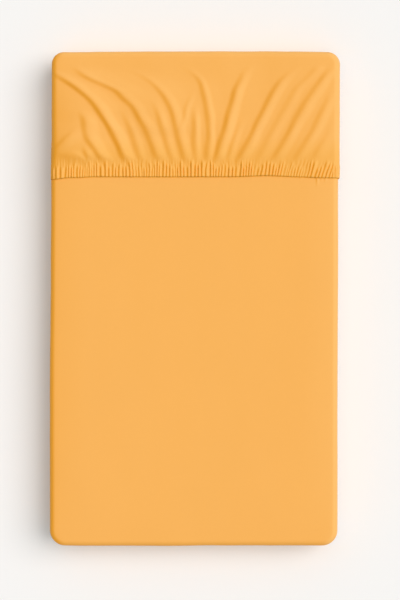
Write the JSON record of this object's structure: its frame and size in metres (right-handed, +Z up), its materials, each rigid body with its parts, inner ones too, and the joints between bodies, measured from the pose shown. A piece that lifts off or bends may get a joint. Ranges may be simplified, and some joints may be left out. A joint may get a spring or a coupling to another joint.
{
  "type": "fitted sheet on a cot mattress",
  "caption": "Elasticated fitted sheet closed round a cot mattress, its gathered hood turned over the head end.",
  "frame": {"origin": "middle of the outline, on the flat underside", "axes": "+Z up through the mattress, +Y towards the head end with the hood, +X to the right seen from above with the head end at the top"},
  "size_m": [0.7052, 1.2, 0.1105],
  "materials": {
    "sheet_cotton": "plain orange cotton, matt, gathered at the elastic",
    "mattress_ticking": "plain off-white ticking, matt"
  },
  "bodies": {
    "root": {"fitted_sheet": "sheet_cotton", "mattress": "mattress_ticking"}
  },
  "joints": []
}
